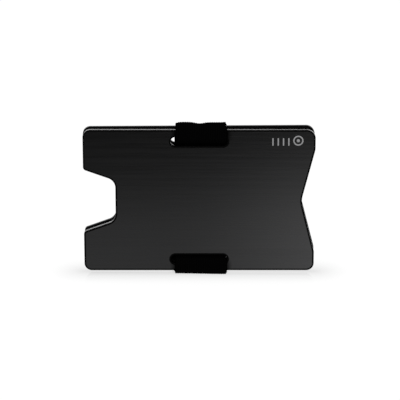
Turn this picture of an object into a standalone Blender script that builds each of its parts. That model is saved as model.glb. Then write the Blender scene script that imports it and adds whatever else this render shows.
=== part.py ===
"""Aluminium card holder: two anodised plates held together by one threaded elastic band.

Metres, +Z up. X runs along the plates and Y through their thickness, with the front plate
towards -Y. The holder stands on the bottom turn of its band, and the origin is under its middle.
"""

import math

import bmesh
import bpy

MM = 0.001

# Both plates are cut to one outline, seen here from the front
PLATE_LENGTH = 86.0 * MM
PLATE_HEIGHT = 54.2 * MM
PLATE_THICKNESS = 1.8 * MM
PLATE_CORNER_RADIUS = 2.8 * MM
PLATE_EDGE_RADIUS = 0.2 * MM

# Thumb notch in the left end: slanted sides and a straight floor
THUMB_NOTCH_DEPTH = 11.9 * MM
THUMB_NOTCH_MOUTH = 24.0 * MM
THUMB_NOTCH_FLOOR = 15.5 * MM
THUMB_NOTCH_MOUTH_RADIUS = 1.4 * MM
THUMB_NOTCH_FLOOR_RADIUS = 3.9 * MM

# Shallow V notch in the right end, with a shoulder between it and each long edge
END_NOTCH_DEPTH = 5.0 * MM
END_NOTCH_SHOULDER = 7.45 * MM
END_NOTCH_MOUTH_RADIUS = 4.0 * MM
END_NOTCH_APEX_RADIUS = 8.0 * MM

# Two round-ended slots along the long edges, which the band is threaded through
SLOT_HEIGHT = 3.4 * MM
SLOT_INSET = 4.4 * MM
SLOT_END_ROOM = 1.0 * MM

# Elastic band
BAND_WIDTH = 19.1 * MM
BAND_THICKNESS = 1.05 * MM
BAND_SELVEDGE = 0.4 * MM
BAND_SIDE_SHIFT = 0.7 * MM
BAND_CLEARANCE = 0.25 * MM
BAND_SECTION_GAP = 0.3 * MM
SEWN_JOINT_LENGTH = 8.0 * MM

# The rear plate sits a little high and crooked in the band, with its right end up
REAR_PLATE_RISE = 0.3 * MM
REAR_PLATE_SKEW = math.radians(0.3)

# Fineness of curves, and the fold from which an edge is shaded sharp
ARC_STEP = math.radians(7.5)
BAND_ARC_STEP = math.radians(15.0)
EDGE_STEPS = 2
SHARP_ANGLE = math.radians(40.0)

# Finishes: colour, roughness and metallic value
BLACK_ANODISED = ((0.030, 0.030, 0.031), 0.38, 0.85)
BLACK_ELASTIC = ((0.006, 0.006, 0.006), 0.85, 0.0)

FRONT = -1
REAR = 1
TOP = 1
BOTTOM = -1

plate_bottom = BAND_THICKNESS + BAND_CLEARANCE
plate_middle = plate_bottom + PLATE_HEIGHT / 2
plate_edge = PLATE_HEIGHT / 2
plate_inner_face = BAND_CLEARANCE / 2 + BAND_THICKNESS + BAND_CLEARANCE
plate_outer_face = plate_inner_face + PLATE_THICKNESS
slot_offset = plate_edge - SLOT_INSET
slot_length = BAND_WIDTH + 2 * SLOT_END_ROOM
band_turn_radius = BAND_CLEARANCE + BAND_THICKNESS / 2
inner_run_offset = plate_inner_face - band_turn_radius
bridge_half_length = plate_inner_face - BAND_SECTION_GAP / 2
sewn_joint_end = SEWN_JOINT_LENGTH / 2
rear_lean = math.tan(REAR_PLATE_SKEW)


def clear_scene():
    for obj in list(bpy.data.objects):
        bpy.data.objects.remove(obj)


def material(name, finish):
    colour, roughness, metallic = finish
    made = bpy.data.materials.new(name)
    made.use_nodes = True
    shader = made.node_tree.nodes["Principled BSDF"]
    shader.inputs["Base Color"].default_value = (*colour, 1.0)
    shader.inputs["Roughness"].default_value = roughness
    shader.inputs["Metallic"].default_value = metallic
    return made


def arc(centre, radius, start, end, step):
    """Points on a circle from one angle to another, both ends included."""
    count = max(2, math.ceil(abs(end - start) / step))
    angles = [start + (end - start) * k / count for k in range(count + 1)]
    return [(centre[0] + radius * math.cos(a), centre[1] + radius * math.sin(a)) for a in angles]


def unit(start, end):
    length = math.dist(start, end)
    return ((end[0] - start[0]) / length, (end[1] - start[1]) / length)


def round_corner(before, corner, after, radius):
    """The arc that rounds one corner of an outline."""
    back = unit(corner, before)
    on = unit(corner, after)
    half_angle = math.acos(back[0] * on[0] + back[1] * on[1]) / 2
    tangent = radius / math.tan(half_angle)
    middle = unit((0, 0), (back[0] + on[0], back[1] + on[1]))
    reach = radius / math.sin(half_angle)
    centre = (corner[0] + middle[0] * reach, corner[1] + middle[1] * reach)
    first = (corner[0] + back[0] * tangent, corner[1] + back[1] * tangent)
    last = (corner[0] + on[0] * tangent, corner[1] + on[1] * tangent)
    start = math.atan2(first[1] - centre[1], first[0] - centre[0])
    end = math.atan2(last[1] - centre[1], last[0] - centre[0])
    turn = (end - start + math.pi) % (2 * math.pi) - math.pi
    return arc(centre, radius, start, start + turn, ARC_STEP)


def rounded_outline(corners):
    """A closed outline from corners given as (x, z, radius), each rounded."""
    points = []
    for index, (x, z, radius) in enumerate(corners):
        before = corners[index - 1][:2]
        after = corners[(index + 1) % len(corners)][:2]
        points += round_corner(before, (x, z), after, radius)
    return points


def plate_outline():
    """The plate seen from the front, anticlockwise from its lower left corner."""
    left = -PLATE_LENGTH / 2
    right = PLATE_LENGTH / 2
    floor = left + THUMB_NOTCH_DEPTH
    apex = right - END_NOTCH_DEPTH
    shoulder = plate_edge - END_NOTCH_SHOULDER
    return rounded_outline(
        [
            (left, -plate_edge, PLATE_CORNER_RADIUS),
            (right, -plate_edge, PLATE_CORNER_RADIUS),
            (right, -shoulder, END_NOTCH_MOUTH_RADIUS),
            (apex, 0, END_NOTCH_APEX_RADIUS),
            (right, shoulder, END_NOTCH_MOUTH_RADIUS),
            (right, plate_edge, PLATE_CORNER_RADIUS),
            (left, plate_edge, PLATE_CORNER_RADIUS),
            (left, THUMB_NOTCH_MOUTH / 2, THUMB_NOTCH_MOUTH_RADIUS),
            (floor, THUMB_NOTCH_FLOOR / 2, THUMB_NOTCH_FLOOR_RADIUS),
            (floor, -THUMB_NOTCH_FLOOR / 2, THUMB_NOTCH_FLOOR_RADIUS),
            (left, -THUMB_NOTCH_MOUTH / 2, THUMB_NOTCH_MOUTH_RADIUS),
        ]
    )


def slot_outline(height):
    """A round-ended slot, clockwise, so that its wall is on the plate's side."""
    radius = SLOT_HEIGHT / 2
    reach = slot_length / 2 - radius
    left_end = arc((-reach, height), radius, -math.pi / 2, -3 * math.pi / 2, ARC_STEP)
    right_end = arc((reach, height), radius, math.pi / 2, -math.pi / 2, ARC_STEP)
    return left_end + right_end


def moved_in(points, distance):
    """A closed outline moved towards its own material by one distance all round."""
    moved = []
    for index, point in enumerate(points):
        along = unit(points[index - 1], point)
        on = unit(point, points[(index + 1) % len(points)])
        share = distance / (1 + along[0] * on[0] + along[1] * on[1])
        moved.append((point[0] - (along[1] + on[1]) * share, point[1] + (along[0] + on[0]) * share))
    return moved


def plate_levels():
    """Inset and depth of each ring of the plate's wall, from its inner to its outer face."""
    turns = [math.pi / 2 * k / EDGE_STEPS for k in range(EDGE_STEPS + 1)]
    rise = [(PLATE_EDGE_RADIUS * (1 - math.sin(a)), PLATE_EDGE_RADIUS * (1 - math.cos(a))) for a in turns]
    fall = [(inset, PLATE_THICKNESS - depth) for inset, depth in reversed(rise)]
    return rise + fall


def closed_wall(made, rings):
    """Faces between neighbouring rings of points, each ring closed."""
    for lower, upper in zip(rings, rings[1:]):
        for index in range(len(lower)):
            following = (index + 1) % len(lower)
            made.faces.new((lower[index], lower[following], upper[following], upper[index]))


def cap(made, loops):
    """A flat face inside the first loop of points and outside the others."""
    edges = []
    for loop in loops:
        for index, point in enumerate(loop):
            edges.append(made.edges.get((point, loop[(index + 1) % len(loop)])))
    bmesh.ops.triangle_fill(made, edges=edges, use_beauty=True, use_dissolve=False)


def finished_mesh(made, name, skin):
    bmesh.ops.recalc_face_normals(made, faces=made.faces)
    mesh = bpy.data.meshes.new(name)
    made.to_mesh(mesh)
    made.free()
    mesh.materials.append(skin)
    mesh.shade_smooth()
    mesh.set_sharp_from_angle(angle=SHARP_ANGLE)
    return mesh


def plate_mesh(skin):
    """One plate, with its inner face on y = 0 and its middle on the origin."""
    made = bmesh.new()
    ends = ([], [])
    for outline in (plate_outline(), slot_outline(slot_offset), slot_outline(-slot_offset)):
        rings = []
        for inset, depth in plate_levels():
            ring = moved_in(outline, inset)
            rings.append([made.verts.new((x, depth, z)) for x, z in ring])
        closed_wall(made, rings)
        ends[0].append(rings[0])
        ends[1].append(rings[-1])
    for loops in ends:
        cap(made, loops)
    return finished_mesh(made, "plate", skin)


def turned_edge(side, end):
    """How far from the front plate's middle the band turns over an edge of a plate.

    Under the raised rear plate it turns level with the front turn, so the holder stands straight.
    """
    return plate_edge + (REAR_PLATE_RISE if side == REAR and end == TOP else 0)


def threaded_half(side, end):
    """Middle line of half a run, from a bridge over the plate's edge and through one slot.

    The band is pulled tight, so it slants through the slot, from the slot's outer corner on the
    side of the plate's edge to its inner corner on the side of the plate's middle.
    Points are (distance from the middle of the holder, height above the front plate's middle).
    """
    radius = band_turn_radius
    edge = turned_edge(side, end)
    slot = slot_offset + (end * REAR_PLATE_RISE if side == REAR else 0)
    outer_corner = (plate_outer_face, slot + SLOT_HEIGHT / 2)
    inner_corner = (plate_inner_face, slot - SLOT_HEIGHT / 2)
    slant = math.atan2(PLATE_THICKNESS, SLOT_HEIGHT)
    slant += math.asin(2 * radius / math.dist(outer_corner, inner_corner))
    points = [(bridge_half_length + BAND_SECTION_GAP, edge + radius)]
    points += arc((plate_outer_face, edge), radius, math.pi / 2, 0, BAND_ARC_STEP)
    points += arc(outer_corner, radius, 0, -slant, BAND_ARC_STEP)
    points += arc(inner_corner, radius, math.pi - slant, math.pi, BAND_ARC_STEP)
    return [(out, end * up) for out, up in points]


def band_section(name, path, side, skin, lean=0):
    """A length of band swept along its middle line, with its corners taken off.

    The lean is how far it moves to the left for each unit of its height, as a crooked plate does.
    """
    half_width = BAND_WIDTH / 2
    half_thickness = BAND_THICKNESS / 2
    inner_width = half_width - BAND_SELVEDGE
    inner_thickness = half_thickness - BAND_SELVEDGE
    section = [
        (-half_width, -inner_thickness),
        (-inner_width, -half_thickness),
        (inner_width, -half_thickness),
        (half_width, -inner_thickness),
        (half_width, inner_thickness),
        (inner_width, half_thickness),
        (-inner_width, half_thickness),
        (-half_width, inner_thickness),
    ]
    made = bmesh.new()
    rings = []
    for index, point in enumerate(path):
        before = path[max(index - 1, 0)]
        after = path[min(index + 1, len(path) - 1)]
        along = unit(before, point) if point != before else unit(point, after)
        on = unit(point, after) if point != after else along
        share = 1 / (1 + along[0] * on[0] + along[1] * on[1])
        normal = ((along[1] + on[1]) * share, -(along[0] + on[0]) * share)
        middle = BAND_SIDE_SHIFT - lean * point[1]
        ring = []
        for across, through in section:
            depth = side * (point[0] + normal[0] * through)
            height = plate_middle + point[1] + normal[1] * through
            ring.append(made.verts.new((middle + across, depth, height)))
        rings.append(ring)
    closed_wall(made, rings)
    made.faces.new(rings[0])
    made.faces.new(rings[-1])
    return named_object(name, finished_mesh(made, name, skin))


def named_object(name, mesh):
    obj = bpy.data.objects.new(name, mesh)
    bpy.context.collection.objects.link(obj)
    return obj


def front_plate(skin):
    obj = named_object("front_plate", plate_mesh(skin))
    obj.location = (0, -plate_outer_face, plate_middle)
    return obj


def rear_plate(front):
    """The same blank as the front plate, a little high and crooked in the band."""
    obj = named_object("rear_plate", front.data)
    obj.location = (0, plate_inner_face, plate_middle + REAR_PLATE_RISE)
    obj.rotation_euler = (0, -REAR_PLATE_SKEW, 0)
    return obj


def band_front_run(skin):
    """From the top bridge, through both slots of the front plate, to the bottom bridge."""
    path = threaded_half(FRONT, TOP) + list(reversed(threaded_half(FRONT, BOTTOM)))
    return band_section("band_front_run", path, FRONT, skin)


def band_rear_end_run(name, end, skin):
    """From a bridge through one slot of the rear plate to the sewn joint."""
    stop = (inner_run_offset, end * (sewn_joint_end + BAND_SECTION_GAP))
    return band_section(name, threaded_half(REAR, end) + [stop], REAR, skin, rear_lean)


def band_sewn_joint(skin):
    """Where the two ends of the band are joined, in the rear plate's inner run."""
    path = [(inner_run_offset, sewn_joint_end), (inner_run_offset, -sewn_joint_end)]
    return band_section("band_sewn_joint", path, REAR, skin, rear_lean)


def band_bridge(name, end, skin):
    """The free stretch that crosses from one plate to the other and pulls them together."""
    front_height = end * (turned_edge(FRONT, end) + band_turn_radius)
    rear_height = end * (turned_edge(REAR, end) + band_turn_radius)
    path = [(-bridge_half_length, front_height), (bridge_half_length, rear_height)]
    return band_section(name, path, REAR, skin)


def slide_origin():
    """Empty that carries everything that moves away from the front plate along +Y."""
    empty = bpy.data.objects.new("rear_plate_slide", None)
    empty.location = (0, 0, plate_middle)
    bpy.context.collection.objects.link(empty)
    return empty


def carry(empty, pieces):
    bpy.context.view_layer.update()
    for piece in pieces:
        piece.parent = empty
        piece.matrix_parent_inverse = empty.matrix_world.inverted()


def main():
    clear_scene()
    anodised = material("black_anodised_aluminium", BLACK_ANODISED)
    elastic = material("black_woven_elastic", BLACK_ELASTIC)
    front = front_plate(anodised)
    band_front_run(elastic)
    band_bridge("band_top_bridge", TOP, elastic)
    band_bridge("band_bottom_bridge", BOTTOM, elastic)
    moving = [
        rear_plate(front),
        band_rear_end_run("band_rear_upper_run", TOP, elastic),
        band_sewn_joint(elastic),
        band_rear_end_run("band_rear_lower_run", BOTTOM, elastic),
    ]
    carry(slide_origin(), moving)


if __name__ == "__main__":
    main()
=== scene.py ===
"""Aluminium card holder: the finish of its two anodised plates, its woven elastic band and its seam.

Metres, +Z up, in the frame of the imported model. X runs along the plates and Y through their
thickness, with the front plate towards -Y. The holder stands on the bottom turn of its band.
"""

import math

import bmesh
import bpy
from bpy.props import FloatProperty, FloatVectorProperty, IntProperty, PointerProperty
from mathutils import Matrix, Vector


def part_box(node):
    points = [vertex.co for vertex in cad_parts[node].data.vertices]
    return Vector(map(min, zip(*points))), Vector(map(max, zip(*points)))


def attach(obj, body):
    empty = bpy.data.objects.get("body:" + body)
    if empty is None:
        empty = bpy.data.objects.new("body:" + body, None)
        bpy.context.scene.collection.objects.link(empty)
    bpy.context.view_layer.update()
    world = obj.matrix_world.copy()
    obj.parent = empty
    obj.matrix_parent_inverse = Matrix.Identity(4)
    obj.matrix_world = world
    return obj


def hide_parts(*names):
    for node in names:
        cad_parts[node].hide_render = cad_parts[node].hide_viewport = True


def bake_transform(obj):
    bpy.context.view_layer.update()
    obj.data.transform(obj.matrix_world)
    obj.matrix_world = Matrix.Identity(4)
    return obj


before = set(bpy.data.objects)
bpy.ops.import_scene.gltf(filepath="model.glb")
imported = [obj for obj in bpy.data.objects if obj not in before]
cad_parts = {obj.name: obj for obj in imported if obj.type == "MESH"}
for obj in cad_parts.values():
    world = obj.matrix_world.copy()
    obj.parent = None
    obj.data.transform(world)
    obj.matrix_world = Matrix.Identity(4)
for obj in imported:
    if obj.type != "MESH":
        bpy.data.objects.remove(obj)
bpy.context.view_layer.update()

bl_info = {
    "name": "Aluminium Card Holder",
    "version": (1, 0, 0),
    "blender": (4, 5, 0),
    "location": "View3D > Sidebar > Card Holder",
    "description": "Builds a slim card holder of two anodised plates and a threaded elastic band",
    "category": "Object",
}

MM = 0.001

FRONT = -1
REAR = 1
TOP = 1
BOTTOM = -1

# The plates and the band, as the frame gives them
plate_low, plate_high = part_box("front_plate")
plate_middle = (plate_low.z + plate_high.z) / 2
plate_edge = (plate_high.z - plate_low.z) / 2
plate_inner_face = -plate_high.y
plate_outer_face = -plate_low.y
rear_low, rear_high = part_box("rear_plate")
rear_rise = (rear_low.z + rear_high.z) / 2 - plate_middle
band_low, band_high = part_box("band_front_run")
band_middle_x = (band_low.x + band_high.x) / 2

# Name, body and CAD node of each length of the band. The loops have no body and lie between the two
BAND_LENGTHS = (
    ("band_rear_upper_woven", "rear_plate", "band_rear_upper_run"),
    ("band_top_loop_woven", None, "band_top_bridge"),
    ("band_front_woven", "front_plate", "band_front_run"),
    ("band_bottom_loop_woven", None, "band_bottom_bridge"),
    ("band_rear_lower_woven", "rear_plate", "band_rear_lower_run"),
)

# Fineness of curves
ARC_STEP = math.radians(4.0)
CIRCLE_STEP = 2 * ARC_STEP
BAND_ARC_STEP = math.radians(9.0)
BAND_STEP = 0.6 * MM
EDGE_STEPS = 4
POINTS_PER_RIB = 6
SELVEDGE_STEPS = 8
STITCH_STEPS = 6
THREAD_SIDES = 8

# How much wider the woven band is than the plain one, and how gradually it narrows into a slot
EXTRA_WIDTH = 0.42 * MM
SQUEEZE_STEP = 0.6 * MM

# The band's lie: shares of the plates' height between which its shift behind them fades out, the height
# of its foot in thicknesses, and the share of its width from which its right corners lean
SHIFT_FADE = (0.1, 0.6)
FOOT_HEIGHT = 3
LEAN_START = 0.9

# The brushing: how dense and how long its streaks are, scale and detail of its two noises, the sums of
# them between which a streak rises, and each plate's own offset in the pattern
STREAKS_PER_METRE = 5200.0
STREAK_STRETCH = 90.0
FINE_STREAKS = (1.0, 3.0)
BROAD_STREAKS = (0.16, 2.0)
STREAK_STEP = (0.7, 1.3)
FRONT_BRUSHING = 0.0
REAR_BRUSHING = 37.0

# Scale and detail of the other noises, scale of the thread's twist, height of the fibres beside the
# threads, and the noise level at which the uneven band keeps its full thickness
FIBRE_NOISE = (9000.0, 2.0)
WANDER_NOISE = (700.0, 1.0)
PIT_NOISE = (7000.0, 2.0)
TWIST_SCALE = 900.0
FIBRE_HEIGHT = 0.35
WANDER_CREST = 0.8

# Specular level of each finish
FILM_SPECULAR = 0.011
WOVEN_SPECULAR = 0.0
THREAD_SPECULAR = 0.3
ETCHED_SPECULAR = 0.3

# Share of its colour, and roughness, where a finish's pattern is lowest and where it is highest
# The thread's lower share is painted shade between its strands
THREAD_PAINTED_SHADES = (0.4, 1.0)
ETCHED_SHADES = (0.7, 1.3)
WOVEN_ROUGHNESS = (0.8, 1.0)
THREAD_ROUGHNESS = (0.6, 0.5)
ETCHED_ROUGHNESS = (0.5, 0.7)

# Strength and distance of each finish's bump
BRUSHED_BUMP = (0.12, 0.02 * MM)
WOVEN_BUMP = (0.7, 0.08 * MM)
THREAD_BUMP = (0.5, 0.03 * MM)
ETCHED_BUMP = (0.3, 0.02 * MM)

# Stage
WHITE = (1.0, 1.0, 1.0, 1.0)
BLACK = (0.0, 0.0, 0.0, 1.0)
PLAIN_FLOOR = (0.8, 0.8, 0.8, 1.0)
MIRROR_ROUGHNESS = 0.05
LAMP_PLACE = (-0.5, -0.3, 1.1)

# Where the light that gloss meets changes, as how far a ray points along Y and along Z
BEHIND_CAMERA_TO_SIDE = (-0.9, -0.2)
HORIZON_TO_ABOVE = (0.14, 0.32)


# Settings


def length(name, description, default):
    return FloatProperty(name=name, description=description, default=default, unit="LENGTH", precision=5)


def angle(name, description, default):
    return FloatProperty(name=name, description=description, default=math.radians(default), unit="ROTATION")


def share(name, description, default):
    return FloatProperty(name=name, description=description, default=default, min=0.0, max=1.0)


def light(name, description, default):
    return FloatProperty(name=name, description=description, default=default, min=0.0, soft_max=2.0)


def number(name, description, default):
    return IntProperty(name=name, description=description, default=default, min=1)


def colour(name, description, default):
    return FloatVectorProperty(name=name, description=description, default=default, subtype="COLOR", size=3)


class PlateSettings(bpy.types.PropertyGroup):
    """Outline, edges and finish of the two plates."""

    corner_radius: length("Corner Radius", "Rounding of the outer corners", 2.8 * MM)
    upper_right_radius: length("Upper Right Radius", "Rounding of the upper right corner", 3.2 * MM)
    edge_radius: length("Edge Radius", "Rounding of the edges between faces and sides", 0.2 * MM)
    # Painted shade: the rounded edges and this strip of the faces beside them are coloured a deeper black
    # for the shade they show
    edge_band: length("Edge Shade Band", "Strip of the faces that is as deep a black as the edges", 0.42 * MM)
    edge_fade: length("Edge Fade", "Width of the step from that strip to the brushed face", 0.05 * MM)
    thumb_depth: length("Thumb Notch Depth", "How far the thumb notch goes in from the left", 11.9 * MM)
    thumb_mouth: length("Thumb Notch Mouth", "Height of the thumb notch where it opens", 24.0 * MM)
    thumb_floor: length("Thumb Notch Floor", "Height of the thumb notch at its straight end", 15.5 * MM)
    thumb_mouth_radius: length("Thumb Mouth Radius", "Rounding where the notch meets the end", 1.4 * MM)
    thumb_floor_radius: length("Thumb Floor Radius", "Rounding inside the notch", 3.9 * MM)
    end_depth: length("End Notch Depth", "How far the V notch goes in from the right", 5.0 * MM)
    end_shoulder: length("End Notch Shoulder", "Straight end between V notch and long edge", 7.45 * MM)
    end_mouth_radius: length("End Mouth Radius", "Rounding where the V notch meets the end", 4.0 * MM)
    end_apex_radius: length("End Apex Radius", "Rounding of the V notch's point", 8.0 * MM)
    slot_length: length("Slot Length", "Length of the band's slots over their round ends", 21.1 * MM)
    slot_height: length("Slot Height", "Height of the band's slots", 3.4 * MM)
    slot_inset: length("Slot Inset", "From the long edge to the slot's middle", 4.4 * MM)
    rear_skew: angle("Rear Plate Skew", "How far the rear plate's right end stands up", 0.3)
    face_colour: colour("Face Colour", "Black anodised film over brushed metal", (0.058, 0.058, 0.059))
    streak_colour: colour("Streak Colour", "Lighter streaks of the brushing", (0.068, 0.068, 0.069))
    wall_colour: colour("Wall Colour", "Film on the front plate's sides", (0.05, 0.05, 0.051))
    wall_roughness: share("Wall Roughness", "Roughness of those sides", 0.22)
    wall_metal: share("Wall Metal", "How metallic they look", 1.0)
    # The rear plate's sides: with the edges' deep black colour these give them painted shade, darker than
    # the front plate's sides
    rear_wall_roughness: share("Rear Wall Roughness", "Roughness of the rear plate's sides", 0.15)
    rear_wall_metal: share("Rear Wall Metal", "How metallic they look", 0.2)
    # Painted shade of the edges, also used near the band and on the rear plate's sides
    edge_colour: colour("Edge Shade Colour", "Deeper black of the rounded edges", (0.003, 0.003, 0.003))
    edge_roughness: share("Edge Roughness", "Roughness of the rounded edges", 0.6)
    roughness: share("Roughness", "Roughness of the faces between the streaks", 0.26)
    streak_roughness: share("Streak Roughness", "Roughness of the brushing's streaks", 0.34)
    # Painted shade: near the band, ambient occlusion darkens the faces' colour towards the edge shade
    # colour; these set how far it reaches and how strongly it darkens
    contact_reach: length("Painted Shade Reach", "How near the band darkens the faces", 2.0 * MM)
    contact_power: FloatProperty(name="Painted Shade Power", description="How strongly it does", default=3.5)


class BandSettings(bpy.types.PropertyGroup):
    """Size, lie and weave of the elastic band."""

    width: length("Width", "Width of the band", band_high.x - band_low.x + EXTRA_WIDTH)
    top_tuck: length("Top Tuck", "How far the left selvedge is drawn in over the top edge", 0.38 * MM)
    slot_room: length("Slot Room", "Room that a slot's round ends leave beside the band", 0.5 * MM)
    gap: length("Gap", "Between the band and the plates", 0.1 * MM)
    selvedge: length("Selvedge", "Half width of the band's round edges", 0.35 * MM)
    rear_shift: length("Rear Shift", "How far left the band lies behind the bottom slot", 1.2 * MM)
    crease_depth: length("Crease Depth", "Dip of the band's upper rear edge", 0.55 * MM)
    crease_width: length("Crease Width", "Half width of that dip", 2.2 * MM)
    crease_place: length("Crease Place", "From the band's middle to the dip", -0.6 * MM)
    right_sink: length("Right Sink", "How much lower the band lies to the right of the dip", 0.12 * MM)
    corner_rise: length("Corner Rise", "How far the upper right corner stands up", 0.2 * MM)
    corner_droop: length("Corner Droop", "How far the upper left corner hangs", 0.4 * MM)
    corner_width: length("Corner Width", "How far from the edge the corners rise or hang", 1.3 * MM)
    corner_lean: length("Corner Lean", "How far the two right corners lean inwards", 0.4 * MM)
    belly: length("Belly", "How far the front bottom turn bulges forward", 0.6 * MM)
    left_lift: length("Left Lift", "How far the front bottom turn is drawn up at its left", 0.3 * MM)
    ribs: number("Ribs", "Lengthwise cords of the weave", 22)
    rib_depth: length("Rib Depth", "Depth of the furrows between the cords", 0.1 * MM)
    unevenness: length("Unevenness", "How far the surface wanders", 0.04 * MM)
    weft_pitch: length("Weft Pitch", "Between neighbouring weft threads", 0.46 * MM)
    yarn_colour: colour("Yarn Colour", "Crowns of the yarn", (0.0020, 0.0020, 0.0021))
    # Painted shade: the weave's depths are coloured darker than its crowns
    furrow_colour: colour("Furrow Shade Colour", "Depths of the weave", (0.0005, 0.0005, 0.0005))


class SeamSettings(bpy.types.PropertyGroup):
    """The zigzag seam that joins the two ends of the band inside the rear plate."""

    stitches: number("Stitches", "Stitches in one row, an even number", 16)
    stitch_height: length("Stitch Height", "Height of a zigzag row", 4.0 * MM)
    row_spacing: length("Row Spacing", "Between the two zigzag rows", 2.4 * MM)
    margin: length("Margin", "From the band's edges to the rows' ends", 1.0 * MM)
    thread: length("Thread", "Diameter of the sewing thread", 0.3 * MM)
    crest: length("Crest", "How deep the thread's middle lies in the band between its holes", 0.06 * MM)
    dip: length("Dip", "How much deeper it lies at its holes", 0.2 * MM)
    end_gap: length("End Gap", "Between the two ends of the band", 0.16 * MM)
    thread_colour: colour("Thread Colour", "Black sewing thread", (0.012, 0.012, 0.013))


class MarkSettings(bpy.types.PropertyGroup):
    """The plain mark etched in the upper right of the front plate."""

    left: length("Left", "From the plate's middle to the mark's left end", 27.0 * MM)
    height: length("Height", "Height of the bars", 2.85 * MM)
    rise: length("Rise", "From the plate's middle up to the bars' feet", 21.2 * MM)
    stroke: length("Stroke", "Width of the lines", 0.5 * MM)
    pitch: length("Pitch", "Between neighbouring bars", 1.95 * MM)
    bars: number("Bars", "Number of bars", 4)
    ring: length("Ring", "Outer diameter of the ring", 3.8 * MM)
    ring_place: length("Ring Place", "From the plate's middle to the ring's middle", 36.6 * MM)
    dot: length("Dot", "Diameter of the dot in the ring", 1.2 * MM)
    relief: length("Relief", "How far the etched surface stands up", 0.012 * MM)
    sunk: length("Sunk", "How deep the mark's body reaches into the plate", 0.05 * MM)
    etched_colour: colour("Etched Colour", "Pale grey of the etched metal", (0.35, 0.35, 0.355))


class StageSettings(bpy.types.PropertyGroup):
    """Floor, light and camera."""

    distance: length("Camera Distance", "From the front face's middle to the camera", 735.1 * MM)
    elevation: angle("Camera Elevation", "Height of the camera above the horizon", 16.06)
    lens: FloatProperty(name="Lens", description="Focal length in millimetres", default=177.91)
    aim_right: length("Aim Right", "From the front face's middle to what the camera aims at", 0.336 * MM)
    aim_up: length("Aim Up", "The same, upwards in the picture", 0.351 * MM)
    floor: length("Floor", "Half width of the floor", 3.0)
    fade: length("Fade", "How far from the holder's middle the floor mirrors it", 18.0 * MM)
    mirror: share("Mirror", "How strongly the floor mirrors the holder's foot", 0.33)
    shade: share("Shade", "How much of the floor's white the holder can shade", 0.08)
    glow: light("Glow", "How bright the floor is to the camera in all", 1.03)
    near_glow: length("Near Glow", "How far in front the floor lights the plates in full", 63.0 * MM)
    far_glow: length("Far Glow", "How far in front its light on the plates fades out", 186.0 * MM)
    far_light: share("Far Light", "Share of that light that remains there", 0.08)
    right_reach: length("Right Reach", "How much further the light reaches on the right", 15.0 * MM)
    left_light: light("Left Light", "Light on the plates' left half", 0.48)
    left_end: length("Left End", "From the plates' middle to where it begins to rise", -11.0 * MM)
    right_light: light("Right Light", "Light from the far right", 1.2)
    right_end: length("Right End", "From the plates' middle to where it is reached", 77.0 * MM)
    far_left_light: share("Far Left Light", "Share of the left light that the far left gives", 0.35)
    far_left: length("Far Left", "From the plates' middle to there", -107.0 * MM)
    front_light: share("Front Light", "Share of the room's light that remains behind the camera", 0.1)
    horizon_light: light("Horizon Light", "Light from near the horizon", 1.5)
    upper_light: light("Upper Light", "Light from above it", 0.35)
    fill: light("Fill", "Strength of the light from all round", 0.8)
    lamp_power: FloatProperty(name="Lamp Power", description="Power of the soft lamp in watts", default=2.0)
    lamp_size: length("Lamp Size", "Width of the soft lamp", 0.8)


# Curves and outlines


def arc(centre, radius, start, end, step):
    """Points on a circle from one angle to another, both ends included."""
    count = max(2, math.ceil(abs(end - start) / step))
    angles = [start + (end - start) * k / count for k in range(count + 1)]
    return [(centre[0] + radius * math.cos(a), centre[1] + radius * math.sin(a)) for a in angles]


def circle(centre, radius):
    """A closed circle, anticlockwise, without a double point."""
    return arc(centre, radius, 0, 2 * math.pi, CIRCLE_STEP)[:-1]


def unit(start, end):
    """The direction from one point to another, one unit long."""
    distance = math.dist(start, end)
    return ((end[0] - start[0]) / distance, (end[1] - start[1]) / distance)


def round_corner(before, corner, after, radius):
    """The arc that rounds one corner of an outline."""
    back = unit(corner, before)
    on = unit(corner, after)
    half_angle = math.acos(back[0] * on[0] + back[1] * on[1]) / 2
    tangent = radius / math.tan(half_angle)
    middle = unit((0, 0), (back[0] + on[0], back[1] + on[1]))
    reach = radius / math.sin(half_angle)
    centre = (corner[0] + middle[0] * reach, corner[1] + middle[1] * reach)
    first = (corner[0] + back[0] * tangent, corner[1] + back[1] * tangent)
    last = (corner[0] + on[0] * tangent, corner[1] + on[1] * tangent)
    start = math.atan2(first[1] - centre[1], first[0] - centre[0])
    end = math.atan2(last[1] - centre[1], last[0] - centre[0])
    turn = (end - start + math.pi) % (2 * math.pi) - math.pi
    return arc(centre, radius, start, start + turn, ARC_STEP)


def rounded_outline(corners):
    """A closed outline from corners given as (x, z, radius), each rounded."""
    points = []
    for index, (x, z, radius) in enumerate(corners):
        before = corners[index - 1][:2]
        after = corners[(index + 1) % len(corners)][:2]
        points += round_corner(before, (x, z), after, radius)
    return points


def moved_in(points, distance):
    """A closed outline moved towards its own material by one distance all round."""
    moved = []
    for index, point in enumerate(points):
        along = unit(points[index - 1], point)
        on = unit(point, points[(index + 1) % len(points)])
        reach = distance / (1 + along[0] * on[0] + along[1] * on[1])
        moved.append((point[0] - (along[1] + on[1]) * reach, point[1] + (along[0] + on[0]) * reach))
    return moved


def spaced(points, step):
    """A line of points with more put in wherever two are further apart than one step."""
    made = [points[0]]
    for point in points[1:]:
        last = made[-1]
        count = max(1, math.ceil(math.dist(last, point) / step))
        for k in range(1, count + 1):
            made.append(tuple(a + (b - a) * k / count for a, b in zip(last, point)))
    return made


def smooth(value, low, high):
    """0 below low, 1 above high, and a smooth step between."""
    portion = min(1.0, max(0.0, (value - low) / (high - low)))
    return portion * portion * (3 - 2 * portion)


def hump(value, centre, width):
    """A smooth bell, 1 at its centre."""
    return math.exp(-(((value - centre) / width) ** 2))


# Meshes


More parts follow.
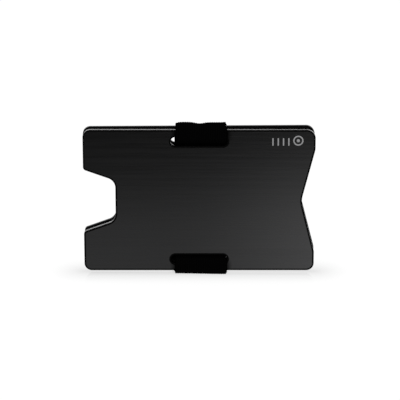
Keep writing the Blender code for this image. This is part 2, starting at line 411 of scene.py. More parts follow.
def closed_wall(made, rings):
    """Faces between neighbouring rings of points, each ring closed."""
    for lower, upper in zip(rings, rings[1:]):
        for index in range(len(lower)):
            following = (index + 1) % len(lower)
            made.faces.new((lower[index], lower[following], upper[following], upper[index]))


def cap(made, loops):
    """A flat face inside the first loop of points and outside the others."""
    edges = []
    for loop in loops:
        for index, point in enumerate(loop):
            edges.append(made.edges.get((point, loop[(index + 1) % len(loop)])))
    bmesh.ops.triangle_fill(made, edges=edges, use_beauty=True, use_dissolve=False)


def layered_body(made, outlines, levels, masks):
    """A flat body with one outer outline and any holes, from levels of (inset, depth, mask values)."""
    ends = ([], [])
    for outline in outlines:
        rings = []
        for inset, depth, *values in levels:
            ring = [made.verts.new((x, depth, z)) for x, z in moved_in(outline, inset)]
            for layer, value in zip(masks, values):
                for point in ring:
                    point[layer] = value
            rings.append(ring)
        closed_wall(made, rings)
        ends[0].append(rings[0])
        ends[1].append(rings[-1])
    for loops in ends:
        cap(made, loops)


def linked(name, data):
    """An object of some data, in the scene."""
    obj = bpy.data.objects.new(name, data)
    bpy.context.scene.collection.objects.link(obj)
    return obj


def mesh_object(made, name, material):
    """The object of a bmesh, which is used up."""
    mesh = bpy.data.meshes.new(name)
    made.to_mesh(mesh)
    made.free()
    mesh.materials.append(material)
    return linked(name, mesh)


def smooth_object(made, name, material):
    """The object of a closed bmesh, its faces pointing outwards and shaded smooth."""
    bmesh.ops.recalc_face_normals(made, faces=made.faces)
    obj = mesh_object(made, name, material)
    obj.data.shade_smooth()
    return obj


def ready(obj, body):
    """Makes a piece ride on a body where it has one."""
    if body:
        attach(obj, body)
    return obj


# Node trees


def node(tree, kind, settings=None, inputs=None):
    """A node with its settings, and with its inputs given as values or as sockets to link."""
    made = tree.nodes.new(kind)
    for key, value in (settings or {}).items():
        setattr(made, key, value)
    feed(tree, made.inputs, inputs or {})
    return made


def feed(tree, sockets, values):
    """Sets or links several sockets, given by name or number."""
    for key, value in values.items():
        put(tree, sockets[key], value)


def put(tree, socket, value):
    """Sets a socket to a value, or links it from another socket."""
    if isinstance(value, bpy.types.NodeSocket):
        tree.links.new(value, socket)
    else:
        socket.default_value = value


def calculate(tree, operation, *values):
    """The result of one Math node on values or sockets."""
    return node(tree, "ShaderNodeMath", {"operation": operation}, dict(enumerate(values))).outputs[0]


def product(tree, result, *factors):
    """The product of two or more values or sockets."""
    for factor in factors:
        result = calculate(tree, "MULTIPLY", result, factor)
    return result


def combine(tree, x=0.0, y=0.0, z=0.0):
    return node(tree, "ShaderNodeCombineXYZ", None, {0: x, 1: y, 2: z}).outputs[0]


def separate(tree, vector):
    return node(tree, "ShaderNodeSeparateXYZ", None, {0: vector}).outputs


def noise(tree, place, scale, detail):
    settings = {"Vector": place, "Scale": scale, "Detail": detail}
    return node(tree, "ShaderNodeTexNoise", None, settings).outputs[0]


def stepped(tree, value, low, high, first, last):
    """A smooth step from the first value at low to the last one at high."""
    inputs = dict(enumerate((value, low, high, first, last)))
    return node(tree, "ShaderNodeMapRange", {"interpolation_type": "SMOOTHSTEP"}, inputs).outputs[0]


def blend_colours(tree, factor, first, second):
    """A mix of two colours. The Mix node has them in sockets 6 and 7, and their mix in output 2."""
    inputs = {0: factor, 6: first, 7: second}
    return node(tree, "ShaderNodeMix", {"data_type": "RGBA"}, inputs).outputs[2]


def blend_values(tree, factor, first, second):
    """A mix of two numbers, which the Mix node has in sockets 2 and 3."""
    return node(tree, "ShaderNodeMix", None, {0: factor, 2: first, 3: second}).outputs[0]


def opaque(rgb, strength=1.0):
    return (*(channel * strength for channel in rgb), 1.0)


def object_place(tree):
    return node(tree, "ShaderNodeTexCoord").outputs["Object"]


def attribute(tree, name, output):
    return node(tree, "ShaderNodeAttribute", {"attribute_name": name}).outputs[output]


def node_group(name, kind, inputs, outputs):
    """An empty node group with sockets given as name and kind, and the sockets at its two ends."""
    tree = bpy.data.node_groups.new(name, kind)
    for direction, sockets in (("INPUT", inputs), ("OUTPUT", outputs)):
        for socket_name, socket_kind in sockets.items():
            tree.interface.new_socket(
                socket_name, in_out=direction, socket_type="NodeSocket" + socket_kind
            )
    return tree, tree.nodes.new("NodeGroupInput").outputs, tree.nodes.new("NodeGroupOutput").inputs


def shared_group(build):
    """A node group that is built once, under the name of the function that builds it."""
    name = build.__name__.removesuffix("_group").removesuffix("_tree")
    return bpy.data.node_groups.get(name) or build()


def through_group(tree, build, inputs):
    """The outputs of a shared group that is placed in a material with its own values."""
    return node(tree, "ShaderNodeGroup", {"node_tree": shared_group(build)}, inputs).outputs


def shader_material(name, constants):
    """A material, its node tree, and the sockets of its Principled shader with the constants set."""
    material = bpy.data.materials.new(name)
    material.use_nodes = True
    shader = material.node_tree.nodes["Principled BSDF"]
    feed(material.node_tree, shader.inputs, constants)
    return material, material.node_tree, shader.inputs


def arches(tree, turn):
    """A row of equal arches, one for each half turn."""
    return calculate(tree, "ABSOLUTE", calculate(tree, "SINE", turn))


def bumped(tree, height, strength, distance):
    settings = {"Height": height, "Strength": strength, "Distance": distance}
    return node(tree, "ShaderNodeBump", None, settings).outputs[0]


# Shader groups


def brushed_grain_group():
    """Straight streaks along X, broad and fine ones together, from 0 to 1."""
    tree, start, end = node_group(
        "brushed_grain",
        "ShaderNodeTree",
        {"Place": "Vector", "Streaks Per Metre": "Float", "Stretch": "Float", "Offset": "Float"},
        {"Streak": "Float", "Height": "Float"},
    )
    place = separate(tree, start["Place"])
    streaks = start["Streaks Per Metre"]
    along = calculate(tree, "DIVIDE", product(tree, place[0], streaks), start["Stretch"])
    across = calculate(tree, "ADD", product(tree, place[2], streaks), start["Offset"])
    point = combine(tree, along, start["Offset"], across)
    fine = noise(tree, point, *FINE_STREAKS)
    both = calculate(tree, "ADD", fine, noise(tree, point, *BROAD_STREAKS))
    feed(tree, end, {"Streak": stepped(tree, both, *STREAK_STEP, 0.0, 1.0), "Height": fine})
    return tree


def anodised_film_group():
    """Colour, roughness and metal of the film, from the brushing's streaks and the mesh's masks, with
    painted shade near the band and on the edges.
    """
    tree, start, end = node_group(
        "anodised_film",
        "ShaderNodeTree",
        {
            "Face Colour": "Color",
            "Streak Colour": "Color",
            "Edge Shade Colour": "Color",
            "Roughness": "Float",
            "Streak Roughness": "Float",
            "Edge Roughness": "Float",
            "Wall Colour": "Color",
            "Wall Roughness": "Float",
            "Wall Metal": "Float",
            "Streak": "Float",
            "Painted Contact Shade": "Float",
            "Edge": "Float",
            "Wall": "Float",
        },
        {"Colour": "Color", "Roughness": "Float", "Metal": "Float"},
    )
    colour_there = blend_colours(tree, start["Streak"], start["Face Colour"], start["Streak Colour"])
    # Painted shade: the faces' colour darkens towards the edge shade colour where the band is near
    colour_there = blend_colours(tree, start["Painted Contact Shade"], colour_there, start["Edge Shade Colour"])
    # Painted shade: the rounded edges and a strip of the faces beside them take the edge shade colour
    colour_there = blend_colours(tree, start["Edge"], colour_there, start["Edge Shade Colour"])
    colour_there = blend_colours(tree, start["Wall"], colour_there, start["Wall Colour"])
    rough = blend_values(tree, start["Streak"], start["Roughness"], start["Streak Roughness"])
    rough = blend_values(tree, start["Edge"], rough, start["Edge Roughness"])
    rough = blend_values(tree, start["Wall"], rough, start["Wall Roughness"])
    metal = calculate(tree, "SUBTRACT", 1.0, start["Edge"])
    metal = blend_values(tree, start["Wall"], metal, start["Wall Metal"])
    feed(tree, end, {"Colour": colour_there, "Roughness": rough, "Metal": metal})
    return tree


def elastic_weave_group():
    """Cords along the band crossed by weft threads, which change sides from cord to cord."""
    tree, start, end = node_group(
        "elastic_weave",
        "ShaderNodeTree",
        {"Place": "Vector", "Rib Pitch": "Float", "Weft Pitch": "Float"},
        {"Height": "Float", "Fibre": "Float"},
    )
    place = separate(tree, start["Place"])
    rib = calculate(tree, "DIVIDE", place[0], start["Rib Pitch"])
    side = product(tree, calculate(tree, "FLOOR", rib), math.pi / 2)
    row = product(tree, calculate(tree, "DIVIDE", place[1], start["Weft Pitch"]), math.pi)
    weft = arches(tree, calculate(tree, "ADD", row, side))
    crown = arches(tree, product(tree, rib, math.pi))
    fibre = noise(tree, start["Place"], *FIBRE_NOISE)
    height = calculate(tree, "MULTIPLY_ADD", fibre, FIBRE_HEIGHT, product(tree, weft, crown))
    feed(tree, end, {"Height": height, "Fibre": fibre})
    return tree


# Materials


def anodised_material(name, plates, offset, wall_colour, wall_roughness, wall_metal):
    """Black anodised film on brushed aluminium, with painted shade beside the band. A plate's sides can
    have their own colour, roughness and metal; on the rear plate these paint its sides in shade.
    """
    material, tree, sockets = shader_material(name, {"Specular IOR Level": FILM_SPECULAR})
    # Painted shade: ambient occlusion from the band, raised to a power, darkens the faces beside it
    reach = {"Distance": plates.contact_reach}
    openness = node(tree, "ShaderNodeAmbientOcclusion", None, reach).outputs["AO"]
    painted_contact_shade = calculate(tree, "SUBTRACT", 1.0, calculate(tree, "POWER", openness, plates.contact_power))
    grain = through_group(
        tree,
        brushed_grain_group,
        {
            "Place": object_place(tree),
            "Streaks Per Metre": STREAKS_PER_METRE,
            "Stretch": STREAK_STRETCH,
            "Offset": offset,
        },
    )
    film = through_group(
        tree,
        anodised_film_group,
        {
            "Face Colour": opaque(plates.face_colour),
            "Streak Colour": opaque(plates.streak_colour),
            "Edge Shade Colour": opaque(plates.edge_colour),
            "Roughness": plates.roughness,
            "Streak Roughness": plates.streak_roughness,
            "Edge Roughness": plates.edge_roughness,
            "Wall Colour": opaque(wall_colour),
            "Wall Roughness": wall_roughness,
            "Wall Metal": wall_metal,
            "Streak": grain["Streak"],
            "Painted Contact Shade": painted_contact_shade,
            "Edge": attribute(tree, "edge", "Fac"),
            "Wall": attribute(tree, "wall", "Fac"),
        },
    )
    results = {
        "Base Color": film["Colour"],
        "Roughness": film["Roughness"],
        "Metallic": film["Metal"],
        "Normal": bumped(tree, grain["Height"], *BRUSHED_BUMP),
    }
    feed(tree, sockets, results)
    return material


def woven_material(band):
    """Matt black elastic, its weave following the band through its own place attribute, with painted shade
    in its depths.
    """
    constants = {"Specular IOR Level": WOVEN_SPECULAR, "Metallic": 0.0}
    material, tree, sockets = shader_material("black_woven_elastic", constants)
    weave = through_group(
        tree,
        elastic_weave_group,
        {
            "Place": attribute(tree, "band_place", "Vector"),
            "Rib Pitch": rib_pitch(band),
            "Weft Pitch": band.weft_pitch,
        },
    )
    # Painted shade: the colour darkens from the yarn's crowns into the weave's depths
    colours = (opaque(band.furrow_colour), opaque(band.yarn_colour))
    results = {
        "Base Color": blend_colours(tree, weave["Height"], *colours),
        "Roughness": blend_values(tree, weave["Fibre"], *WOVEN_ROUGHNESS),
        "Normal": bumped(tree, weave["Height"], *WOVEN_BUMP),
    }
    feed(tree, sockets, results)
    return material


def patterned(tree, pattern, rgb, shades, roughness, bump):
    """Colour, roughness and bump that all follow one pattern, for the sockets of a Principled shader."""
    lowest, highest = (opaque(rgb, shade) for shade in shades)
    return {
        "Base Color": blend_colours(tree, pattern, lowest, highest),
        "Roughness": blend_values(tree, pattern, *roughness),
        "Normal": bumped(tree, pattern, *bump),
    }


def thread_material(seam):
    """Twisted black sewing thread."""
    constants = {"Specular IOR Level": THREAD_SPECULAR}
    material, tree, sockets = shader_material("black_sewing_thread", constants)
    inputs = {"Vector": object_place(tree), "Scale": TWIST_SCALE, "Distortion": 1.0}
    wave = node(tree, "ShaderNodeTexWave", {"bands_direction": "DIAGONAL"}, inputs)
    twist = wave.outputs["Fac"]
    # Painted shade: the colour darkens between the twisted strands
    results = patterned(tree, twist, seam.thread_colour, THREAD_PAINTED_SHADES, THREAD_ROUGHNESS, THREAD_BUMP)
    feed(tree, sockets, results)
    return material


def etched_material(mark):
    """Bare metal that a laser has roughened, a little uneven along its lines."""
    material, tree, sockets = shader_material("etched_metal", {"Specular IOR Level": ETCHED_SPECULAR})
    pits = noise(tree, object_place(tree), *PIT_NOISE)
    results = patterned(tree, pits, mark.etched_colour, ETCHED_SHADES, ETCHED_ROUGHNESS, ETCHED_BUMP)
    feed(tree, sockets, results)
    return material


# Plates


def plate_outline(plates):
    """A plate seen from the front, anticlockwise from its lower left corner."""
    left = plate_low.x
    right = plate_high.x
    floor = left + plates.thumb_depth
    apex = right - plates.end_depth
    shoulder = plate_edge - plates.end_shoulder
    return rounded_outline(
        [
            (left, -plate_edge, plates.corner_radius),
            (right, -plate_edge, plates.corner_radius),
            (right, -shoulder, plates.end_mouth_radius),
            (apex, 0, plates.end_apex_radius),
            (right, shoulder, plates.end_mouth_radius),
            (right, plate_edge, plates.upper_right_radius),
            (left, plate_edge, plates.corner_radius),
            (left, plates.thumb_mouth / 2, plates.thumb_mouth_radius),
            (floor, plates.thumb_floor / 2, plates.thumb_floor_radius),
            (floor, -plates.thumb_floor / 2, plates.thumb_floor_radius),
            (left, -plates.thumb_mouth / 2, plates.thumb_mouth_radius),
        ]
    )


def slot_outline(plates, end):
    """A round-ended slot, clockwise, so that its wall is on the plate's side."""
    radius = plates.slot_height / 2
    reach = plates.slot_length / 2 - radius
    height = end * (plate_edge - plates.slot_inset)
    left_end = arc((-reach, height), radius, -math.pi / 2, -3 * math.pi / 2, ARC_STEP)
    right_end = arc((reach, height), radius, math.pi / 2, -math.pi / 2, ARC_STEP)
    return left_end + right_end


def plate_levels(plates):
    """Inset, depth, edge mask and wall mask of each ring of a plate, from its inner to its outer face."""
    thickness = plate_outer_face - plate_inner_face
    radius = plates.edge_radius
    # The edge mask, which paints the edges' shade into the colour, reaches over the rounding and onto a
    # strip of the faces
    shaded_reach = radius + plates.edge_band
    rise = [(shaded_reach + plates.edge_fade, 0.0, 0.0, 0.0), (shaded_reach, 0.0, 1.0, 0.0)]
    for step in range(EDGE_STEPS + 1):
        turn = math.pi / 2 * step / EDGE_STEPS
        wall = 1.0 if step == EDGE_STEPS else 0.0
        rise.append((radius * (1 - math.sin(turn)), radius * (1 - math.cos(turn)), 1.0, wall))
    fall = [(inset, thickness - depth, edge, wall) for inset, depth, edge, wall in reversed(rise)]
    return rise + fall


def plate_object(name, side, rise, skew, plates, material, body):
    """One plate, raised and turned about its middle, and set beside the band's inner runs."""
    made = bmesh.new()
    masks = [made.verts.layers.float.new("edge"), made.verts.layers.float.new("wall")]
    outlines = [plate_outline(plates), slot_outline(plates, TOP), slot_outline(plates, BOTTOM)]
    layered_body(made, outlines, plate_levels(plates), masks)
    for point in made.verts:
        x, depth, z = point.co
        point.co = (
            x * math.cos(skew) - z * math.sin(skew),
            side * (plate_inner_face + depth),
            plate_middle + rise + x * math.sin(skew) + z * math.cos(skew),
        )
    return ready(smooth_object(made, name, material), body)


# Band


def rib_pitch(band):
    return (band.width - 2 * band.selvedge) / band.ribs


def band_thickness(band):
    """The band fills the space between its gap over the plates and the surface the holder stands on."""
    return plate_low.z - band_low.z - band.gap


def threaded_half(band, plates, side, end):
    """Middle line from a plate's long edge over its outer face, slantwise through a slot, and inside.

    It follows the raised rear plate, but turns level with the front plate at the bottom.
    """
    radius = band.gap + band_thickness(band) / 2
    rise = rear_rise if side == REAR else 0.0
    edge = plate_edge + (rise if end == TOP else 0.0)
    slot_middle = plate_edge - plates.slot_inset + end * rise
    outer_corner = (plate_outer_face, slot_middle + plates.slot_height / 2)
    inner_corner = (plate_inner_face, slot_middle - plates.slot_height / 2)
    slant = math.atan2(outer_corner[0] - inner_corner[0], outer_corner[1] - inner_corner[1])
    slant += math.asin(2 * radius / math.dist(outer_corner, inner_corner))
    points = arc((plate_outer_face, edge), radius, math.pi / 2, 0, BAND_ARC_STEP)
    points += arc(outer_corner, radius, 0, -slant, BAND_ARC_STEP)
    points += arc(inner_corner, radius, math.pi - slant, math.pi, BAND_ARC_STEP)
    return [(side * out, plate_middle + end * up) for out, up in points]


def band_lines(band, plates, seam):
    """Middle lines of the band's five lengths, from its sewn joint over the top and round to the joint."""
    inner = plate_inner_face - band.gap - band_thickness(band) / 2
    half_gap = seam.end_gap / 2
    upper = [(inner, plate_middle + half_gap)] + threaded_half(band, plates, REAR, TOP)[::-1]
    front = threaded_half(band, plates, FRONT, TOP) + threaded_half(band, plates, FRONT, BOTTOM)[::-1]
    lower = threaded_half(band, plates, REAR, BOTTOM) + [(inner, plate_middle - half_gap)]
    lines = [upper, [upper[-1], front[0]], front, [front[-1], lower[0]], lower]
    return [spaced(line, BAND_STEP) for line in lines]


def in_slot(plates, y, z):
    """1 within a slot, 0 where the band lies along a plate, and a smooth step between."""
    step = SQUEEZE_STEP / 2
    height = abs(abs(z - plate_middle) - (plate_edge - plates.slot_inset)) - plates.slot_height / 2
    entered = smooth(abs(y), plate_inner_face - step, plate_inner_face + step)
    left = smooth(abs(y), plate_outer_face - step, plate_outer_face + step)
    return entered * (1 - left) * (1 - smooth(height, 0.0, SQUEEZE_STEP))


def as_it_lies(band, plates, point):
    """Where a point of the straight band comes to lie: creased on top, askew behind, bulging below."""
    x, y, z = point
    half = band.width / 2
    thickness = band_thickness(band)
    height = (z - plate_low.z) / (plate_high.z - plate_low.z)
    behind = smooth(y, -plate_outer_face, plate_outer_face)
    beyond_edges = smooth(z, plate_high.z, plate_high.z + thickness) + 1 - smooth(z, 0.0, thickness)
    low = 1 - smooth(z, 0.0, FOOT_HEIGHT * thickness)
    middle = band_middle_x - band.rear_shift * behind * (1 - smooth(height, *SHIFT_FADE))
    left = middle - half + band.top_tuck * smooth(z, plate_high.z - plates.slot_inset, plate_high.z)
    right = middle + half
    limit = plates.slot_length / 2 - band.slot_room
    entered = in_slot(plates, y, z)
    left += (max(left, -limit) - left) * entered
    right += (min(right, limit) - right) * entered
    portion = (x - band_middle_x) / band.width + 0.5
    across = left + (right - left) * portion - band_middle_x
    across -= math.tan(plates.rear_skew) * (z - plate_middle) * behind
    across -= band.corner_lean * beyond_edges * smooth(portion, LEAN_START, 1.0)
    sink = band.right_sink if across > band.crease_place else 0.0
    lift = -sink - (band.crease_depth - sink) * hump(across, band.crease_place, band.crease_width)
    lift += band.corner_rise * hump(across, half, band.corner_width)
    lift -= band.corner_droop * hump(across, -half, band.corner_width)
    raised = z + lift * behind * smooth(z, plate_high.z - thickness, plate_high.z + thickness)
    if z > plate_high.z:
        raised = max(raised, plate_high.z + rear_rise * behind + band.gap / 2)
    low_front = low * (1 - behind)
    raised += band.left_lift * low_front * smooth(-across, -half, half)
    return (band_middle_x + across, y - band.belly * low_front, raised)


def band_section(band):
    """Points round the band's section: across, share of half the thickness, and place from its left."""
    flat = band.width / 2 - band.selvedge
    count = band.ribs * POINTS_PER_RIB
    outer = [(-flat + 2 * flat * k / count, 1.0) for k in range(count + 1)]
    turns = [math.pi / 2 - math.pi * k / SELVEDGE_STEPS for k in range(1, SELVEDGE_STEPS)]
    right = [(flat + band.selvedge * math.cos(a), math.sin(a)) for a in turns]
    around = outer + right + [(-x, -portion) for x, portion in outer + right]
    return [(x, portion, min(max(x, -flat), flat) + flat) for x, portion in around]


def band_rings(line):
    """For each point of the band's middle line: the point, the way outwards, and the length so far."""
    rings = []
    along = 0.0
    for index, point in enumerate(line):
        before = line[max(index - 1, 0)]
        after = line[min(index + 1, len(line) - 1)]
        back = unit(before, point) if index else unit(point, after)
        on = unit(point, after) if index < len(line) - 1 else back
        reach = 1 / (1 + back[0] * on[0] + back[1] * on[1])
        along += math.dist(before, point)
        rings.append((point, ((back[1] + on[1]) * reach, -(back[0] + on[0]) * reach), along))
    return rings


def band_length(name, band, plates, rings, material, body):
    """One length of the band. Attributes keep each point's place on the band and its way outwards."""
    made = bmesh.new()
    place_layer = made.verts.layers.float_vector.new("band_place")
    outward_layer = made.verts.layers.float_vector.new("band_outward")
    section = band_section(band)
    half = band_thickness(band) / 2
    walls = []
    for (y, z), (out_y, out_z), along in rings:
        wall = []
        for across, portion, place in section:
            through = portion * half
            straight = (band_middle_x + across, y + out_y * through, z + out_z * through)
            vertex = made.verts.new(as_it_lies(band, plates, straight))
            vertex[place_layer] = Vector((place, along, 0.0))
            vertex[outward_layer] = Vector((0.0, out_y, out_z)) * portion
            wall.append(vertex)
        walls.append(wall)
    closed_wall(made, walls)
    made.faces.new(walls[0])
    made.faces.new(walls[-1])
    obj = smooth_object(made, name, material)
    through_nodes(
        obj,
        shared_group(band_ribs_tree),
        {
            "Rib Pitch": rib_pitch(band),
            "Rib Depth": band.rib_depth,
            "Unevenness": band.unevenness,
            "Material": material,
        },
    )
    return ready(obj, body)


# Geometry Nodes


def band_ribs_tree():
    """Presses the furrows between the lengthwise cords into a band, and makes it a little uneven."""
    tree, start, end = node_group(
        "band_ribs",
        "GeometryNodeTree",
        {
            "Band": "Geometry",
            "Rib Pitch": "Float",
            "Rib Depth": "Float",
            "Unevenness": "Float",
            "Material": "Material",
        },
        {"Band": "Geometry"},
    )
    place = vector_attribute(tree, "band_place")
    outward = vector_attribute(tree, "band_outward")
    across = separate(tree, place)[0]
    turn = product(tree, calculate(tree, "DIVIDE", across, start["Rib Pitch"]), 2 * math.pi)
    furrow = calculate(tree, "MULTIPLY_ADD", calculate(tree, "COSINE", turn), 0.5, -0.5)
    wander = calculate(tree, "SUBTRACT", noise(tree, place, *WANDER_NOISE), WANDER_CREST)
    wander = product(tree, wander, start["Unevenness"])
    outwards = calculate(tree, "MULTIPLY_ADD", furrow, start["Rib Depth"], wander)
    scaled = node(tree, "ShaderNodeVectorMath", {"operation": "SCALE"}, {0: outward, "Scale": outwards})
    moves = {"Geometry": start["Band"], "Offset": scaled.outputs[0]}
    pressed = node(tree, "GeometryNodeSetPosition", None, moves).outputs[0]
    put(tree, end["Band"], dressed(tree, pressed, start["Material"]))
    return tree


def vector_attribute(tree, name):
    settings = {"data_type": "FLOAT_VECTOR"}
    return node(tree, "GeometryNodeInputNamedAttribute", settings, {"Name": name}).outputs[0]


def zigzag_seam_tree():
    """Two rows of zigzag stitches on both faces of the band, the thread arching from hole to hole."""
    tree, start, end = node_group(
        "zigzag_seam",
        "GeometryNodeTree",
        {
            "Start": "Geometry",
            "Stitches": "Int",
            "Seam Width": "Float",
            "Stitch Height": "Float",
            "Row Spacing": "Float",
            "Face Spacing": "Float",
            "Dip": "Float",
            "Thread Radius": "Float",
            "Middle": "Vector",
            "Material": "Material",
        },
        {"Seam": "Geometry"},
    )
    steps = product(tree, start["Stitches"], STITCH_STEPS)
    points = node(tree, "GeometryNodeMeshLine", None, {"Count": calculate(tree, "ADD", steps, 1.0)})
    index = node(tree, "GeometryNodeInputIndex").outputs[0]
    phase = calculate(tree, "DIVIDE", index, STITCH_STEPS)
    along = calculate(tree, "SUBTRACT", calculate(tree, "DIVIDE", index, steps), 0.5)
    height = calculate(tree, "SUBTRACT", calculate(tree, "PINGPONG", phase, 1.0), 0.5)
    arch = arches(tree, product(tree, phase, math.pi))
    depth = product(tree, calculate(tree, "SUBTRACT", arch, 1.0), start["Dip"])
    place = combine(
        tree,
        product(tree, along, start["Seam Width"]),
        calculate(tree, "MULTIPLY_ADD", start["Face Spacing"], 0.5, depth),
        product(tree, height, start["Stitch Height"]),
    )
    moves = {"Geometry": points.outputs[0], "Position": place}
    zigzag = node(tree, "GeometryNodeSetPosition", None, moves).outputs[0]
    line = node(tree, "GeometryNodeMeshToCurve", None, {0: zigzag}).outputs[0]
    size = {"Resolution": THREAD_SIDES, "Radius": start["Thread Radius"]}
    ring = node(tree, "GeometryNodeCurvePrimitiveCircle", None, size).outputs[0]
    sweep = {"Curve": line, "Profile Curve": ring, "Fill Caps": True}
    row = node(tree, "GeometryNodeCurveToMesh", None, sweep).outputs[0]
    rows = tree.nodes.new("GeometryNodeJoinGeometry")
    for half in (-0.5, 0.5):
        offset = combine(tree, z=product(tree, start["Row Spacing"], half))
        put(tree, rows.inputs[0], transformed(tree, row, {"Translation": offset}))
    faces = tree.nodes.new("GeometryNodeJoinGeometry")
    for turn in (0.0, math.pi):
        turned = transformed(tree, rows.outputs[0], {"Rotation": (0.0, 0.0, turn)})
        put(tree, faces.inputs[0], turned)
    placed = transformed(tree, faces.outputs[0], {"Translation": start["Middle"]})
    rounded = node(tree, "GeometryNodeSetShadeSmooth", None, {0: placed}).outputs[0]
    put(tree, end["Seam"], dressed(tree, rounded, start["Material"]))
    return tree


def transformed(tree, geometry, inputs):
    return node(tree, "GeometryNodeTransform", None, {"Geometry": geometry, **inputs}).outputs[0]


def dressed(tree, geometry, material):
    """The last two nodes of a tree: real geometry in place of instances, and its material."""
    real = node(tree, "GeometryNodeRealizeInstances", None, {0: geometry}).outputs[0]
    return node(tree, "GeometryNodeSetMaterial", None, {"Geometry": real, "Material": material}).outputs[0]


def through_nodes(obj, tree, inputs):
    """Runs a Geometry Nodes tree on an object and keeps the result as its plain mesh."""
    modifier = obj.modifiers.new(tree.name, "NODES")
    modifier.node_group = tree
    for item in tree.interface.items_tree:
        if item.item_type == "SOCKET" and item.in_out == "INPUT" and item.name in inputs:
            modifier[item.identifier] = inputs[item.name]
    bpy.context.view_layer.update()
    graph = bpy.context.evaluated_depsgraph_get()
    result = bpy.data.meshes.new_from_object(obj.evaluated_get(graph), depsgraph=graph)
    obj.modifiers.remove(modifier)
    obj.data = result
    result.name = obj.name


# Stage


def make_floor(stage):
    """A white floor that mirrors the holder's foot and shows its shadow."""
    made = bmesh.new()
    bmesh.ops.create_grid(made, x_segments=1, y_segments=1, size=stage.floor)
    mesh_object(made, "floor", floor_material(stage))


def beyond(tree, coordinate, limit):
    """How far a coordinate lies beyond a limit on either side, or 0."""
    distance = calculate(tree, "SUBTRACT", calculate(tree, "ABSOLUTE", coordinate), limit)
    return calculate(tree, "MAXIMUM", distance, 0.0)


def floor_material(stage):
    """White to the camera, a graded white card to the plates' gloss, and plain white to soft light."""
    material = bpy.data.materials.new("white_floor")
    material.use_nodes = True
    tree = material.node_tree
    tree.nodes.remove(tree.nodes["Principled BSDF"])
    place = separate(tree, object_place(tree))
    corner = combine(tree, beyond(tree, place[0], plate_high.x), place[1])
    away = node(tree, "ShaderNodeVectorMath", {"operation": "LENGTH"}, {0: corner}).outputs["Value"]
    near = calculate(tree, "SUBTRACT", 1.0, calculate(tree, "DIVIDE", away, stage.fade))
    near = calculate(tree, "MAXIMUM", near, 0.0)
    mirror = product(tree, near, near, stage.mirror)
    polish = {"Color": blend_colours(tree, mirror, BLACK, WHITE), "Roughness": MIRROR_ROUGHNESS}
    shine = node(tree, "ShaderNodeBsdfAnisotropic", None, polish).outputs[0]
    glow = glowing(tree, calculate(tree, "SUBTRACT", stage.glow - stage.shade, mirror))
    shade = matt(tree, opaque(WHITE[:3], stage.shade))
    seen = add_shaders(tree, add_shaders(tree, glow, shine), shade)
    ahead = product(tree, place[1], -1.0)
    reach = stepped(tree, place[0], 0.0, plate_high.x, 0.0, stage.right_reach)
    ahead = calculate(tree, "SUBTRACT", ahead, reach)
    card = glowing(
        tree,
        product(
            tree,
            stepped(tree, ahead, stage.near_glow, stage.far_glow, 1.0, stage.far_light),
            stepped(tree, place[0], stage.left_end, stage.right_end, stage.left_light, stage.right_light),
            stepped(tree, place[0], stage.far_left, plate_low.x, stage.far_left_light, 1.0),
        ),
    )
    plain = matt(tree, PLAIN_FLOOR)
    path = node(tree, "ShaderNodeLightPath").outputs
    gloss = calculate(tree, "MAXIMUM", path["Is Glossy Ray"], path["Is Transmission Ray"])
    unseen = mix_shaders(tree, gloss, plain, card)
    surface = mix_shaders(tree, path["Is Camera Ray"], unseen, seen)
    put(tree, tree.nodes["Material Output"].inputs["Surface"], surface)
    return material


def glowing(tree, strength):
    return node(tree, "ShaderNodeEmission", None, {"Color": WHITE, "Strength": strength}).outputs[0]


def matt(tree, rgba):
    return node(tree, "ShaderNodeBsdfDiffuse", None, {"Color": rgba}).outputs[0]


def add_shaders(tree, first, second):
    return node(tree, "ShaderNodeAddShader", None, {0: first, 1: second}).outputs[0]


def mix_shaders(tree, factor, first, second):
    return node(tree, "ShaderNodeMixShader", None, {0: factor, 1: first, 2: second}).outputs[0]


def make_world(stage):
    """White to the camera, and even soft light. Gloss meets a bright horizon and a dim room."""
    world = bpy.data.worlds.new("white_room")
    bpy.context.scene.world = world
    world.use_nodes = True
    tree = world.node_tree
    path = node(tree, "ShaderNodeLightPath").outputs
    way = separate(tree, node(tree, "ShaderNodeTexCoord").outputs["Generated"])
    gloss = product(
        tree,
        stepped(tree, way[1], *BEHIND_CAMERA_TO_SIDE, stage.front_light, 1.0),
        stepped(tree, way[2], *HORIZON_TO_ABOVE, stage.horizon_light, stage.upper_light),
    )
    more_gloss = calculate(tree, "SUBTRACT", gloss, stage.fill)
    strength = calculate(tree, "MULTIPLY_ADD", path["Is Camera Ray"], 1.0 - stage.fill, stage.fill)
    strength = calculate(tree, "MULTIPLY_ADD", path["Is Transmission Ray"], 1.0 - stage.fill, strength)
    strength = calculate(tree, "MULTIPLY_ADD", path["Is Glossy Ray"], more_gloss, strength)
    feed(tree, tree.nodes["Background"].inputs, {"Color": WHITE, "Strength": strength})


def make_lamp(stage):
    """One large soft lamp above and a little in front, on the left."""
    lamp = bpy.data.lights.new("soft_lamp", "AREA")
    lamp.energy = stage.lamp_power
    lamp.size = stage.lamp_size
    obj = linked("soft_lamp", lamp)
    obj.location = LAMP_PLACE
    obj.rotation_euler = (-obj.location).to_track_quat("-Z", "Y").to_euler()
    obj.visible_camera = False


def make_camera(stage):
    """The camera, in front of the holder and a little above it."""
    camera = bpy.data.cameras.new("camera")
    camera.lens = stage.lens
    obj = linked("camera", camera)
    right = Vector((1.0, 0.0, 0.0))
    back = Vector((0.0, -math.cos(stage.elevation), math.sin(stage.elevation)))
    up = back.cross(right)
    target = Vector((0.0, -plate_outer_face, plate_middle))
    obj.location = target + back * stage.distance
    aim = target + right * stage.aim_right + up * stage.aim_up
    obj.rotation_euler = (aim - obj.location).to_track_quat("-Z", "Y").to_euler()
    bpy.context.scene.camera = obj


# Operators


